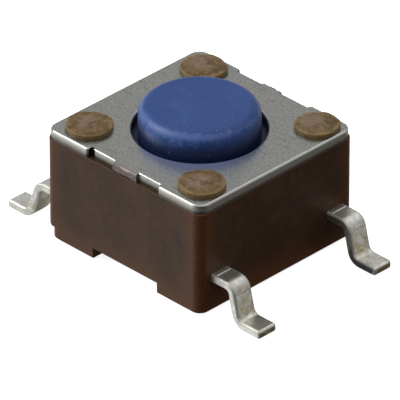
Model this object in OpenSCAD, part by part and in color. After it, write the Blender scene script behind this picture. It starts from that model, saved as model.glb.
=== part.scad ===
// Surface-mount tactile switch, 6 mm square, with four gull-wing leads.
// Millimetres. +Z is the way the button points, +X the way the leads leave the body.
// The origin is the middle of the footprint, on the board that the lead feet stand on.

/* [Base moulding] */
// Side of the square moulding
body_side = 6.0; // [5.8:0.1:6.6]
// Radius of the moulding's upright corners
body_corner_r = 0.3; // [0.15:0.05:0.45]
// Gap between the board and the moulding's underside
standoff = 0.12; // [0.04:0.02:0.2]
// Height of the moulding, from its underside to the cover's seat
body_h = 3.15; // [3.05:0.05:3.6]
// Height of the two feet that the moulding stands on
foot_h = 0.33; // [0.2:0.01:0.4]
// How far the -X foot stands back from the moulding's side
foot_set_back = 0.15; // [0.05:0.05:0.25]
// Width of the channel between the feet
channel_w = 2.5; // [1.8:0.1:3.0]
// How far the channel's middle lies towards +X
channel_shift = 0.09; // [-0.2:0.01:0.2]
// Diameter of the holes left by the pins that held the strips in the mould
core_pin_d = 0.7; // [0.5:0.05:0.9]

/* [Staked posts] */
// Distance from the moulding's sides to a post's axis
post_inset = 0.8; // [0.75:0.05:1.0]
// Diameter of a post where it passes the cover
post_d = 1.0; // [0.8:0.05:1.1]
// Radial gap between a post and its hole in the cover
post_clear = 0.01; // [0.01:0.01:0.05]
// Diameter of a staked head
head_d = 1.32; // [1.2:0.02:1.4]
// Height of a staked head at its middle
head_h = 0.24; // [0.22:0.01:0.3]
// Height of a staked head's upright rim
head_rim_h = 0.1; // [0.06:0.01:0.12]
// Radius between a head's rim and its crown
head_edge_r = 0.09; // [0.04:0.01:0.1]
// How far the staking tool sat off the posts' axes, towards +X
head_shift_x = 0.08; // [0:0.02:0.12]
// How far the staking tool sat off the posts' axes, towards +Y
head_shift_y = 0.06; // [0:0.02:0.1]

/* [Cover] */
// Thickness of the cover plate
cover_t = 0.28; // [0.2:0.02:0.36]
// How far the cover's edge stands back from the moulding's side
cover_set_back = 0.02; // [0:0.01:0.06]
// Radius of the cover's corners in plan
cover_corner_r = 0.35; // [0.25:0.05:0.5]
// Radius of the cover's rounded upper edge
cover_edge_r = 0.08; // [0.04:0.01:0.12]
// Width of the notch in each Y edge
notch_w = 2.7; // [2.0:0.1:3.0]
// Depth of the notch
notch_in = 0.12; // [0.08:0.01:0.18]
// Width of the sheared carrier stub in the notch
stub_w = 0.8; // [0.5:0.05:1.2]
// How far the stub stands out of the notch's edge
stub_out = 0.1; // [0.04:0.01:0.11]
// How deep the score above the stub is, and how far back it starts
score_in = 0.04; // [0.03:0.01:0.08]
// Chamfer round the upper edge of the central hole
hole_chamfer = 0.04; // [0.02:0.01:0.08]

/* [Plunger] */
// Diameter of the button
button_d = 3.4; // [3.0:0.05:3.5]
// Height of the button above the cover at rest
button_rise = 0.75; // [0.6:0.05:1.5]
// Radius of the button's upper edge
button_edge_r = 0.36; // [0.1:0.02:0.5]
// Radial gap between the button and the cover's hole
button_clear = 0.175; // [0.1:0.025:0.2]
// How far the flange reaches under the cover past the hole's edge
flange_hold = 0.27; // [0.2:0.01:0.3]
// Thickness of the flange
flange_t = 0.5; // [0.35:0.05:0.6]
// Radial gap between the flange and the guide wall
guide_clear = 0.12; // [0.08:0.01:0.15]
// Width of a guide lug
lug_w = 0.8; // [0.6:0.1:1.2]
// How far a guide lug stands out of the flange
lug_out = 0.22; // [0.15:0.01:0.26]
// Diameter of the boss that presses the dome
boss_d = 1.4; // [1.0:0.1:1.8]
// Radius of the boss's domed tip
boss_tip_r = 1.6; // [1.2:0.1:2.4]
// How far the button travels
travel = 0.25; // [0.15:0.05:0.3]
// Flat running gap above the flange and under the boss at rest
rest_gap = 0.02; // [0.01:0.01:0.03]
// Gap left between the flange and its ledge when pressed home
stop_gap = 0.08; // [0.04:0.01:0.12]

/* [Contact strips] */
// Thickness of the strips
strip_t = 0.25; // [0.2:0.01:0.28]
// Width of a strip and of its leads
lead_w = 0.68; // [0.6:0.02:0.8]
// Distance between the two strips' middles
lead_pitch = 4.5; // [4.4:0.05:4.6]
// Height of the strips' underside above the board
lead_h = 1.03; // [0.95:0.01:1.2]
// How far a lead's foot reaches past the moulding's side
lead_reach = 1.85; // [1.7:0.05:2.2]
// Straight length of a lead outside the moulding
shoulder = 0.53; // [0.4:0.01:0.6]
// Angle between a lead's leg and the upright
leg_lean = 14; // [5:1:25]
// Inside radius of the upper bend
bend_r = 0.12; // [0.06:0.01:0.16]
// Inside radius of the lower bend
foot_bend_r = 0.18; // [0.1:0.01:0.22]
// Radius of the upper edge at a lead's tip
tip_r = 0.06; // [0.03:0.01:0.1]
// How far the rim land and the centre pad are formed up from their strips
land_rise = 0.08; // [0.05:0.01:0.12]
// Width of the horseshoe land under the dome's rim
land_w = 0.4; // [0.3:0.05:0.5]
// How far the land reaches past the dome's rim
land_over = 0.05; // [0.02:0.01:0.08]
// Width of the neck that joins the land to its strip
neck_w = 1.3; // [0.8:0.1:1.6]
// Width of the tongue to the centre pad
tongue_w = 0.7; // [0.5:0.05:0.9]
// Diameter of the centre pad
pad_d = 1.0; // [0.8:0.1:1.4]
// Gap between the horseshoe's ends and the tongue
land_gap = 0.3; // [0.2:0.05:0.5]
// Diameter of the hole that locks a strip's end into the moulding
lock_hole_d = 0.3; // [0.2:0.05:0.4]

/* [Contact dome] */
// Diameter of the dome
dome_d = 3.8; // [3.4:0.1:3.9]
// Thickness of the dome
dome_t = 0.07; // [0.05:0.01:0.1]
// Gap left between the dome and the centre pad when pressed home
dome_gap = 0.02; // [0.01:0.01:0.04]
// Radial gap between the dome and its pit
dome_clear = 0.1; // [0.06:0.01:0.14]

/* [Hidden] */

$fn = 96;
// Overlap of pieces that are fused, and overshoot of cuts
lap = 0.05;

body_half = body_side / 2;
seat_z = standoff + body_h;                  // top of the moulding, seat of the cover
cover_z = seat_z + cover_t;                  // top of the cover
feet_z = standoff + foot_h;                  // top of the feet, ceiling of the channel
post_at = body_half - post_inset;

strip_top_z = lead_h + strip_t;              // flush with the cavity's floor
land_z = strip_top_z + land_rise;            // top of the rim land and of the centre pad
strip_at = lead_pitch / 2;

cover_side = body_side - 2 * cover_set_back;
hole_d = button_d + 2 * button_clear;
flange_d = hole_d + 2 * flange_hold;
guide_d = flange_d + 2 * guide_clear;
flange_top_z = seat_z - rest_gap;
flange_z = flange_top_z - flange_t;
ledge_z = flange_z - travel - stop_gap;      // where the guide wall steps in to the pit

dome_rise = travel + dome_gap;               // dome's underside above its rim, in the middle
dome_top_z = land_z + dome_rise + dome_t;
pit_d = dome_d + 2 * dome_clear;
boss_z = dome_top_z + rest_gap;

// A square with round corners, exact arcs.
module round_square(x, y, r) {
    square([x - 2 * r, y], center = true);
    square([x, y - 2 * r], center = true);
    for (sx = [-1, 1])
        for (sy = [-1, 1])
            translate([sx * (x / 2 - r), sy * (y / 2 - r)]) circle(r = r);
}

// Part of a ring between two angles less than 180 degrees apart.
module ring_sector(r_in, r_out, from, to) {
    far = 2 * r_out;
    mid = (from + to) / 2;
    intersection() {
        difference() {
            circle(r = r_out);
            circle(r = r_in);
        }
        polygon([
            [0, 0],
            far * [cos(from), sin(from)],
            far * [cos(mid), sin(mid)],
            far * [cos(to), sin(to)]
        ]);
    }
}

// A copy at each of the four posts.
module at_posts() {
    for (sx = [-1, 1])
        for (sy = [-1, 1])
            translate([sx * post_at, sy * post_at, 0]) children();
}

// ---- Base ----

// Two feet with the channel between them; the -X foot stands back.
module feet() {
    translate([0, 0, standoff]) linear_extrude(foot_h)
        difference() {
            translate([foot_set_back / 2, 0])
                round_square(body_side - foot_set_back, body_side, body_corner_r);
            translate([channel_shift, 0]) square([channel_w, body_side + 2 * lap], center = true);
        }
}

module block() {
    translate([0, 0, feet_z]) linear_extrude(seat_z - feet_z)
        round_square(body_side, body_side, body_corner_r);
}

// Pit for the dome, guide wall for the flange and grooves for its two lugs.
module cavity() {
    groove_x = flange_d + 2 * (lug_out + guide_clear);
    groove_y = lug_w + 2 * guide_clear;
    translate([0, 0, strip_top_z]) cylinder(d = pit_d, h = seat_z);
    translate([0, 0, ledge_z]) cylinder(d = guide_d, h = seat_z);
    translate([-groove_x / 2, -groove_y / 2, ledge_z]) cube([groove_x, groove_y, seat_z]);
}

// Holes of the mould's pins under the pad and under each strip.
module core_pin_holes() {
    for (y = [-strip_at, 0, strip_at])
        translate([0, y, 0]) cylinder(d = core_pin_d, h = lead_h);
}

// Half section of a staked head, from its axis outwards: rim, rounded shoulder, low crown.
module head_section() {
    flat_r = head_d / 2 - head_edge_r;
    shoulder_h = head_rim_h + head_edge_r;
    crown_h = head_h - shoulder_h;
    crown_r = (pow(flat_r, 2) + pow(crown_h, 2)) / (2 * crown_h);
    square([head_d / 2, head_rim_h]);
    square([flat_r, shoulder_h]);
    translate([flat_r, head_rim_h]) circle(r = head_edge_r);
    intersection() {
        translate([0, head_h - crown_r]) circle(r = crown_r);
        square([flat_r, head_h]);
    }
}

// One staked post: a shank through the cover and the head formed on it.
module staked_post() {
    translate([0, 0, seat_z - lap]) cylinder(d = post_d, h = cover_t + 2 * lap);
    translate([head_shift_x, head_shift_y, cover_z]) rotate_extrude() head_section();
}

module base() {
    color("#4a3c34") {
        difference() {
            union() {
                feet();
                block();
            }
            cavity();
            core_pin_holes();
            centre_strip_metal();
            rim_strip_metal();
        }
        at_posts() staked_post();
    }
}

// ---- Cover ----

// Section of a plate's border, outwards along X: its outer upper edge is rounded.
module border_section(depth) {
    square([depth, cover_t - cover_edge_r]);
    square([depth - cover_edge_r, cover_t]);
    translate([depth - cover_edge_r, cover_t - cover_edge_r]) circle(r = cover_edge_r);
}

// A straight border of the plate, facing +X, with its inner side on the Y axis.
module straight_border(depth, length) {
    rotate([90, 0, 0]) linear_extrude(length, center = true) border_section(depth);
}

// The square plate: a flat middle, four straight borders and four turned corners.
module edged_plate() {
    inner = cover_side - 2 * cover_corner_r;
    translate([-inner / 2, -inner / 2, 0]) cube([inner, inner, cover_t]);
    for (turn = [0 : 90 : 270])
        rotate([0, 0, turn]) translate([inner / 2, 0, 0]) {
            straight_border(cover_corner_r, inner);
            translate([0, inner / 2, 0]) rotate_extrude(angle = 90) border_section(cover_corner_r);
        }
}

// The torn stub of the carrier strip, facing +X: scored from above, broken off below.
module carrier_stub() {
    rotate([90, 0, 0]) linear_extrude(stub_w, center = true)
        polygon([
            [-score_in, 0],
            [stub_out, 0],
            [stub_out, cover_t - score_in],
            [-score_in, cover_t]
        ]);
}

// Room for the stub in the notch's rounded border.
module stub_room() {
    translate([-score_in, -stub_w / 2, -lap]) cube([score_in + lap, stub_w, cover_t + 2 * lap]);
}

module cover() {
    edge = cover_side / 2 - notch_in;
    band = cover_corner_r;
    color("#8a8a84") translate([0, 0, seat_z]) difference() {
        union() {
            difference() {
                edged_plate();
                for (turn = [-90, 90])
                    rotate([0, 0, turn]) translate([edge - band, -notch_w / 2, -lap])
                        cube([body_side, notch_w, cover_t + 2 * lap]);
            }
            for (turn = [-90, 90])
                rotate([0, 0, turn]) {
                    difference() {
                        translate([edge - band, 0, 0]) straight_border(band, notch_w);
                        translate([edge, 0, 0]) stub_room();
                    }
                    translate([edge, 0, 0]) carrier_stub();
                }
        }
        rotate_extrude() polygon([
            [0, -lap],
            [hole_d / 2, -lap],
            [hole_d / 2, cover_t - hole_chamfer],
            [hole_d / 2 + hole_chamfer + lap, cover_t + lap],
            [0, cover_t + lap]
        ]);
        translate([0, 0, -lap]) at_posts()
            cylinder(r = post_d / 2 + post_clear, h = cover_t + 2 * lap);
    }
}

// ---- Plunger ----

// Half section of the button, flange and boss, from the axis outwards.
module plunger_section() {
    top = cover_z + button_rise;
    button_r = button_d / 2;
    boss_r = boss_d / 2;
    tip_h = boss_tip_r - sqrt(pow(boss_tip_r, 2) - pow(boss_r, 2));
    translate([0, flange_z]) square([button_r, top - button_edge_r - flange_z]);
    translate([0, flange_z]) square([button_r - button_edge_r, top - flange_z]);
    translate([button_r - button_edge_r, top - button_edge_r]) circle(r = button_edge_r);
    translate([0, flange_z]) square([flange_d / 2, flange_t]);
    translate([0, boss_z + tip_h]) square([boss_r, flange_z - boss_z - tip_h + lap]);
    intersection() {
        translate([0, boss_z + boss_tip_r]) circle(r = boss_tip_r);
        translate([0, boss_z]) square([boss_r, tip_h]);
    }
}

module plunger() {
    lug_span = flange_d + 2 * lug_out;
    color("#3c5196") {
        rotate_extrude() plunger_section();
        translate([-lug_span / 2, -lug_w / 2, flange_z]) cube([lug_span, lug_w, flange_t]);
    }
}

// ---- Contact dome ----

module contact_dome() {
    rim_r = dome_d / 2;
    inner_r = (pow(rim_r, 2) + pow(dome_rise, 2)) / (2 * dome_rise);
    centre = dome_rise - inner_r;
    color("#c9c6bd") translate([0, 0, land_z]) rotate_extrude()
        intersection() {
            translate([0, centre]) difference() {
                circle(r = inner_r + dome_t);
                circle(r = inner_r);
            }
            square([rim_r, dome_rise + 2 * dome_t]);
        }
}

// ---- Contact strips ----

// Side view of the +X lead past its shoulder: upper bend, leaning leg, lower bend and foot.
module lead_section() {
    bend_at = [body_half + shoulder, lead_h - bend_r];
    across = bend_r + strip_t + foot_bend_r;
    drop = strip_t + foot_bend_r;
    leg = (bend_at[1] + across * sin(leg_lean) - drop) / cos(leg_lean);
    foot_bend_x = bend_at[0] + across * cos(leg_lean) + leg * sin(leg_lean);
    foot = body_half + lead_reach - foot_bend_x;
    translate(bend_at) {
        ring_sector(bend_r, bend_r + strip_t, leg_lean, 90);
        rotate(leg_lean) {
            translate([bend_r, -leg]) square([strip_t, leg]);
            translate([across, -leg]) rotate(-leg_lean) {
                ring_sector(foot_bend_r, drop, 180 + leg_lean, 270);
                translate([0, -drop]) foot_section(foot);
            }
        }
    }
}

// Flat of the foot, with the upper edge of its tip rounded.
module foot_section(foot) {
    square([foot - tip_r, strip_t]);
    square([foot, strip_t - tip_r]);
    translate([foot - tip_r, strip_t - tip_r]) circle(r = tip_r);
}

// A strip from tip to tip across the moulding, with a locking hole inside each end.
module strip_metal() {
    difference() {
        rotate([90, 0, 0]) linear_extrude(lead_w, center = true) {
            translate([-body_half - shoulder, lead_h]) square([body_side + 2 * shoulder, strip_t]);
            lead_section();
            mirror([1, 0]) lead_section();
        }
        for (s = [-1, 1])
            translate([s * post_at, 0, lead_h - lap]) cylinder(d = lock_hole_d, h = strip_t + 2 * lap);
    }
}

module centre_strip_metal() {
    translate([0, -strip_at, 0]) strip_metal();
    translate([-tongue_w / 2, -strip_at, lead_h]) cube([tongue_w, strip_at, strip_t]);
    translate([0, 0, lead_h + land_rise]) cylinder(d = pad_d, h = strip_t);
}

module rim_strip_metal() {
    land_out_r = dome_d / 2 + land_over;
    land_in_r = land_out_r - land_w;
    mouth_w = tongue_w + 2 * land_gap;
    translate([0, strip_at, 0]) strip_metal();
    translate([0, 0, lead_h + land_rise]) difference() {
        cylinder(r = land_out_r, h = strip_t);
        translate([0, 0, -lap]) cylinder(r = land_in_r, h = strip_t + 2 * lap);
        translate([-mouth_w / 2, -body_half, -lap]) cube([mouth_w, body_half, strip_t + 2 * lap]);
    }
    translate([-neck_w / 2, land_out_r - land_w / 2, lead_h])
        cube([neck_w, strip_at - land_out_r + land_w / 2, strip_t]);
}

module contact_strip_centre() {
    color("#b9b7ae") centre_strip_metal();
}

module contact_strip_rim() {
    color("#b9b7ae") rim_strip_metal();
}

base();
cover();
plunger();
contact_dome();
contact_strip_centre();
contact_strip_rim();
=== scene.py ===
"""Looks of a 6 mm surface-mount tactile switch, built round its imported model.

Pieces are modelled in millimetres in the model's own frame and brought to metres when they
are finished: +Z is the way the button points, +X the way the leads leave the body.
"""

from __future__ import annotations

import logging
import math
from abc import ABC, abstractmethod
from contextlib import contextmanager
from dataclasses import dataclass, field
from enum import Enum
from typing import Any, Callable, Iterator, Sequence

import bpy
from mathutils import Matrix, Vector

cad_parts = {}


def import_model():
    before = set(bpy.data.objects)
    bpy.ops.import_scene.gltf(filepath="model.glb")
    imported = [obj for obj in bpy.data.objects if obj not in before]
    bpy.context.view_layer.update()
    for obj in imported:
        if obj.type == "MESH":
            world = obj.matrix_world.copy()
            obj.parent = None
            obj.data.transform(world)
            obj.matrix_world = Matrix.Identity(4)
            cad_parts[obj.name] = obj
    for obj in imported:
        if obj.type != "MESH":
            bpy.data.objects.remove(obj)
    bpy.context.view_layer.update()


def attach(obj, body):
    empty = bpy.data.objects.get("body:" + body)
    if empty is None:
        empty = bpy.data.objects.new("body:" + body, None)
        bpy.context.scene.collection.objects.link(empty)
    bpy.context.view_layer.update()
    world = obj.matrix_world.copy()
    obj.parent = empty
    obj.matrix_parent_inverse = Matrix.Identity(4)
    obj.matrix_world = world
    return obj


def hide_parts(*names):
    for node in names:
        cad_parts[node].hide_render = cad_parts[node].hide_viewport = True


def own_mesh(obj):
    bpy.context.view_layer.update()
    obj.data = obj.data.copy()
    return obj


LOG = logging.getLogger("switch")

MM = 0.001  # metres in a millimetre
WELD = 1e-4  # vertices closer than this, in millimetres, are one
SMOOTH_ANGLE = math.radians(32)  # facets that meet at less than this are shaded as one surface
OVERSHOOT = 0.2  # how far a cutter reaches past what it cuts, in millimetres
THROUGH = 1.0  # length of a cutter that goes right through the cover, in millimetres
FACING = 0.9  # a face looks along an axis when its normal has more than this along it
ROUND = 128  # facets round the button and the cover's hole
DETAIL = 3.0  # octaves of the cloudy patterns

# Heights and distances that several pieces and finishes share, in millimetres
COVER_LOW = 3.27
COVER_TOP = 3.55
POST_AT = 2.2
STRIP_AT = 2.25
NOTCH_FLOOR = 2.86

Obj = bpy.types.Object
Flat = tuple[float, float]
Point = tuple[float, float, float]
Section = Sequence[Flat]
Test = Callable[[Vector, Vector], bool]


class Fit(Enum):
    """How a second solid is worked into a first one."""

    CUT = "DIFFERENCE"
    FUSE = "UNION"


class Body(Enum):
    """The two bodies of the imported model."""

    HOUSING = "housing"
    PLUNGER = "plunger"


# ---- Bench: small operations that every piece uses ----


def deselect_all() -> None:
    """Leaves nothing selected, because an operator acts on all that is."""
    for obj in list(bpy.context.selected_objects):
        obj.select_set(False)


def take(obj: Obj) -> None:
    """Selects one object alone and makes it active.

    Args:
        obj: The object.
    """
    deselect_all()
    obj.select_set(True)
    bpy.context.view_layer.objects.active = obj


@contextmanager
def editing(obj: Obj, mode: str = "VERT") -> Iterator[None]:
    """Opens an object for editing and closes it again.

    Args:
        obj: The mesh object.
        mode: The kind of element that is selected: VERT, EDGE or FACE.

    Yields:
        Nothing, while the object is open.
    """
    take(obj)
    kinds = ("VERT", "EDGE", "FACE")
    bpy.context.tool_settings.mesh_select_mode = [mode == kind for kind in kinds]
    bpy.ops.object.mode_set(mode="EDIT")
    try:
        yield
    finally:
        bpy.ops.object.mode_set(mode="OBJECT")


def clear_marks(obj: Obj) -> None:
    """Leaves no vertex, edge or face of a mesh selected.

    Args:
        obj: The mesh object, not open for editing.
    """
    mesh = obj.data
    for items in (mesh.polygons, mesh.edges, mesh.vertices):
        items.foreach_set("select", [False] * len(items))


def mark_edges(obj: Obj, test: Test) -> None:
    """Selects the edges whose two ends pass a test.

    Args:
        obj: The mesh object, not open for editing.
        test: Takes the two ends, in millimetres, and says whether the edge is wanted.
    """
    clear_marks(obj)
    points = obj.data.vertices
    for edge in obj.data.edges:
        first, second = (points[i] for i in edge.vertices)
        if test(first.co, second.co):
            edge.select = first.select = second.select = True


def mark_faces(obj: Obj, test: Test) -> None:
    """Selects the faces whose centre and normal pass a test.

    Args:
        obj: The mesh object, not open for editing.
        test: Takes the centre and the normal and says whether the face is wanted.
    """
    clear_marks(obj)
    for face in obj.data.polygons:
        if test(face.center, face.normal):
            face.select = True
            for i in face.vertices:
                obj.data.vertices[i].select = True


def bevel_marked(obj: Obj, width: float, steps: int) -> None:
    """Rounds the selected edges.

    Args:
        obj: The mesh object, with its edges selected.
        width: How far the rounding reaches along each face.
        steps: How many facets it has.
    """
    with editing(obj, "EDGE"):
        bpy.ops.mesh.bevel(
            offset_type="OFFSET", offset=width, segments=steps, profile=0.5, affect="EDGES"
        )


def apply_modifier(obj: Obj, kind: str, **settings: Any) -> None:
    """Adds one modifier to an object and applies it.

    Args:
        obj: The mesh object.
        kind: The modifier's type.
        **settings: Its settings.
    """
    take(obj)
    bpy.ops.object.modifier_add(type=kind)
    modifier = obj.modifiers[-1]
    for name, value in settings.items():
        setattr(modifier, name, value)
    bpy.ops.object.modifier_apply(modifier=modifier.name)


def soften(obj: Obj, width: float, steps: int, angle: float = 30.0) -> None:
    """Rounds every edge where faces meet at more than an angle.

    Args:
        obj: The mesh object.
        width: How far the rounding reaches along each face.
        steps: How many facets it has.
        angle: The angle, in degrees.
    """
    apply_modifier(
        obj,
        "BEVEL",
        width=width,
        segments=steps,
        limit_method="ANGLE",
        angle_limit=math.radians(angle),
        use_clamp_overlap=True,
    )


def work_in(obj: Obj, other: Obj, fit: Fit) -> None:
    """Cuts a second solid out of a first one, or fuses it on, and removes the second.

    Args:
        obj: The solid that stays.
        other: The solid that is used up.
        fit: Whether it is cut out or fused on.
    """
    apply_modifier(obj, "BOOLEAN", operation=fit.value, solver="EXACT", object=other)
    bpy.data.objects.remove(other)


def fix_place(obj: Obj) -> None:
    """Moves an object's place, turn and scale into its mesh."""
    take(obj)
    bpy.ops.object.transform_apply(location=True, rotation=True, scale=True)


def box(name: str, low: Point, high: Point) -> Obj:
    """Adds a block between two corners.

    Args:
        name: The object's name.
        low: Its lowest corner, in millimetres.
        high: Its highest corner.

    Returns:
        The block.
    """
    deselect_all()
    middle = [(a + b) / 2 for a, b in zip(low, high)]
    size = [b - a for a, b in zip(low, high)]
    bpy.ops.mesh.primitive_cube_add(size=1.0, location=middle, scale=size)
    obj = bpy.context.object
    obj.name = name
    fix_place(obj)
    return obj


def rod(name: str, radius: float, low: Point, height: float, facets: int = 64) -> Obj:
    """Adds an upright cylinder.

    Args:
        name: The object's name.
        radius: Its radius.
        low: The middle of its lower end.
        height: Its height.
        facets: How many sides it has.

    Returns:
        The cylinder.
    """
    deselect_all()
    bpy.ops.mesh.primitive_cylinder_add(
        vertices=facets,
        radius=radius,
        depth=height,
        location=(low[0], low[1], low[2] + height / 2),
    )
    obj = bpy.context.object
    obj.name = name
    fix_place(obj)
    return obj


def turned(name: str, section: Section, steps: int = 96, at: Point = (0.0, 0.0, 0.0)) -> Obj:
    """Turns a half section round an upright axis, as on a lathe.

    Args:
        name: The object's name.
        section: Points of the section as radius and height.
        steps: How many facets go round.
        at: The axis's foot.

    Returns:
        The turned solid, closed where its section ends on the axis.
    """
    deselect_all()
    bpy.ops.mesh.primitive_plane_add(size=1.0)
    obj = bpy.context.object
    obj.name = name
    points = [Vector((at[0] + r, at[1], at[2] + z)) for r, z in section]
    with editing(obj):
        bpy.ops.mesh.select_all(action="SELECT")
        bpy.ops.mesh.merge(type="CENTER")
        bpy.ops.transform.translate(value=points[0])
        for here, there in zip(points, points[1:]):
            bpy.ops.mesh.extrude_vertices_move(TRANSFORM_OT_translate={"value": there - here})
        bpy.ops.mesh.select_all(action="SELECT")
        bpy.ops.mesh.spin(
            steps=steps, angle=math.tau, center=(at[0], at[1], 0.0), axis=(0.0, 0.0, 1.0)
        )
        bpy.ops.mesh.select_all(action="SELECT")
        bpy.ops.mesh.remove_doubles(threshold=WELD)
        bpy.ops.mesh.normals_make_consistent(inside=False)
    return obj


def arc(centre: Flat, radius: float, start: float, end: float, steps: int) -> list[Flat]:
    """Points on an arc of a section, with both its ends.

    Args:
        centre: The arc's centre.
        radius: Its radius.
        start: The angle where it starts, in degrees.
        end: The angle where it ends.
        steps: How many facets it has.

    Returns:
        The points, from start to end.
    """
    turn = [math.radians(start + (end - start) * i / steps) for i in range(steps + 1)]
    return [(centre[0] + radius * math.cos(t), centre[1] + radius * math.sin(t)) for t in turn]


def finish_mesh(obj: Obj) -> None:
    """Shades a piece, keeps its flat faces flat and brings it to metres.

    Args:
        obj: The piece, in millimetres.
    """
    take(obj)
    bpy.ops.object.shade_smooth_by_angle(angle=SMOOTH_ANGLE, keep_sharp_edges=True)
    apply_modifier(obj, "WEIGHTED_NORMAL", weight=100, keep_sharp=True)
    obj.scale = (MM, MM, MM)
    fix_place(obj)


# ---- Finishes ----


def linear(code: str) -> tuple[float, float, float, float]:
    """Turns an sRGB colour to linear.

    Args:
        code: The colour as hex, such as "#3e5490".

    Returns:
        Red, green, blue and an alpha of 1.
    """
    parts = [int(code[i : i + 2], 16) / 255 for i in (1, 3, 5)]
    red, green, blue = (p / 12.92 if p <= 0.04045 else ((p + 0.055) / 1.055) ** 2.4 for p in parts)
    return (red, green, blue, 1.0)


def per(size: float) -> float:
    """The scale that gives a pattern's features a size in millimetres."""
    return 1.0 / size


def place(tree: Any, kind: str, inputs: dict[str, Any] | None = None, **settings: Any) -> Any:
    """Adds one node with its settings, values and links.

    Args:
        tree: The node tree.
        kind: The node's type, without its Shader prefix.
        inputs: For each input in use, by name, a value or the output that feeds it.
        **settings: The node's own settings.

    Returns:
        The node.
    """
    node = tree.nodes.new("ShaderNode" + kind)
    for name, value in settings.items():
        setattr(node, name, value)
    for name, value in (inputs or {}).items():
        socket = next(s for s in node.inputs if s.enabled and name in (s.name, s.identifier))
        if isinstance(value, bpy.types.NodeSocket):
            tree.links.new(value, socket)
        else:
            socket.default_value = value
    return node


def out(node: Any, name: str = "") -> Any:
    """The output of a node that is in use, by name, or the first one."""
    return next(s for s in node.outputs if s.enabled and name in ("", s.name))


def new_material(name: str) -> tuple[bpy.types.Material, Any, Any, Any]:
    """Starts a material.

    Args:
        name: What it is made of.

    Returns:
        The material, its tree, its shader and the output that gives a point's place in the
        model, in millimetres.
    """
    material = bpy.data.materials.new(name)
    material.use_nodes = True
    tree = material.node_tree
    tree.nodes.clear()
    shader = place(tree, "BsdfPrincipled")
    place(tree, "OutputMaterial", {"Surface": out(shader)})
    metres = place(tree, "TexCoord").outputs["Object"]
    coords = place(tree, "VectorMath", {"Vector": metres, "Scale": 1.0 / MM}, operation="SCALE")
    return material, tree, shader, out(coords)


@dataclass(frozen=True)
class Coat:
    """A colour laid over what is under it, where a value runs from one level to another."""

    value: Any
    start: float
    full: float
    colour: str
    share: float = 1.0


def lay_coats(tree: Any, ground: str, coats: Sequence[Coat]) -> Any:
    """Lays colours over a ground, one after the other.

    Args:
        tree: The node tree.
        ground: The lowest colour.
        coats: What lies on it, from below.

    Returns:
        The output that gives the colour.
    """
    tone: Any = linear(ground)
    for coat in coats:
        share = place(
            tree,
            "MapRange",
            {
                "Value": coat.value,
                "From Min": coat.start,
                "From Max": coat.full,
                "To Max": coat.share,
            },
            interpolation_type="SMOOTHSTEP",
        )
        mixed = place(
            tree,
            "Mix",
            {"Factor": out(share), "A": tone, "B": linear(coat.colour)},
            data_type="RGBA",
        )
        tone = out(mixed)
    return tone


def sums(tree: Any, first: Any, *steps: tuple[str, Any]) -> Any:
    """Works a value through a formula.

    Args:
        tree: The node tree.
        first: The value that it starts from.
        *steps: Each an operation and its second value, or None where it takes none.

    Returns:
        The output that gives the result.
    """
    for operation, value in steps:
        inputs = {"Value": first} if value is None else {"Value": first, "Value_001": value}
        first = out(place(tree, "Math", inputs, operation=operation))
    return first


class Finish(ABC):
    """What a surface is made of and how it was made."""

    @abstractmethod
    def make(self) -> bpy.types.Material:
        """Builds the material.

        Returns:
            The material.
        """

    @staticmethod
    def join(
        tree: Any, shader: Any, tone: Any, relief: Any, depth: float, roughness: Any = None
    ) -> None:
        """Feeds the shader its colour, its relief and, where it varies, its roughness.

        Args:
            tree: The node tree.
            shader: The shader.
            tone: The output that gives the colour.
            relief: The output that gives the height.
            depth: How deep the relief is, in millimetres.
            roughness: The output that gives the roughness.
        """
        bump = place(tree, "Bump", {"Height": relief, "Strength": 0.4, "Distance": depth * MM})
        tree.links.new(tone, shader.inputs["Base Color"])
        tree.links.new(out(bump), shader.inputs["Normal"])
        if roughness is not None:
            tree.links.new(roughness, shader.inputs["Roughness"])


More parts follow.
